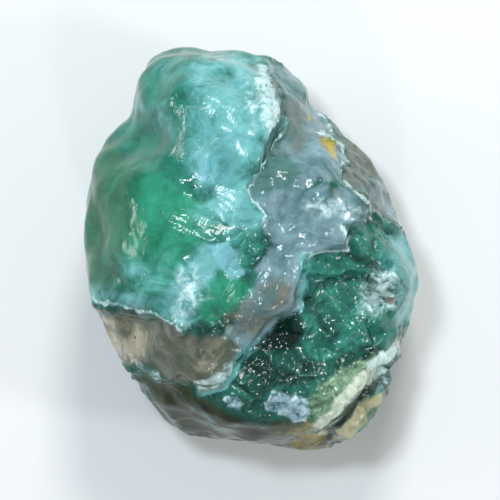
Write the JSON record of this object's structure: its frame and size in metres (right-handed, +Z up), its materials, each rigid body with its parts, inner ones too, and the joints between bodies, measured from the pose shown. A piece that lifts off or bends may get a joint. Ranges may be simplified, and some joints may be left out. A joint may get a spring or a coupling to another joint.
{
  "type": "rough fluorite chunk",
  "caption": "Rough, lumpy chunk of translucent green fluorite, broken from its vein and worn smooth, with stepped cleavage on its broad upper face and a flat face that it lies on.",
  "frame": {"origin": "centre of the stone's box in plan, at the level of the flat face that it lies on", "axes": "+Z up through the broad face, +Y along the stone's length towards its narrow end, +X to the right as the picture shows the broad face"},
  "size_m": [0.058, 0.07, 0.042],
  "materials": {
    "fluorite": "cloudy translucent crystal with a wet-looking gloss; emerald to deep green, with aqua-white milky parts and lilac-grey, smoky brown, olive and cream parts"
  },
  "bodies": {
    "root": {"fluorite_chunk": "fluorite"}
  },
  "joints": []
}
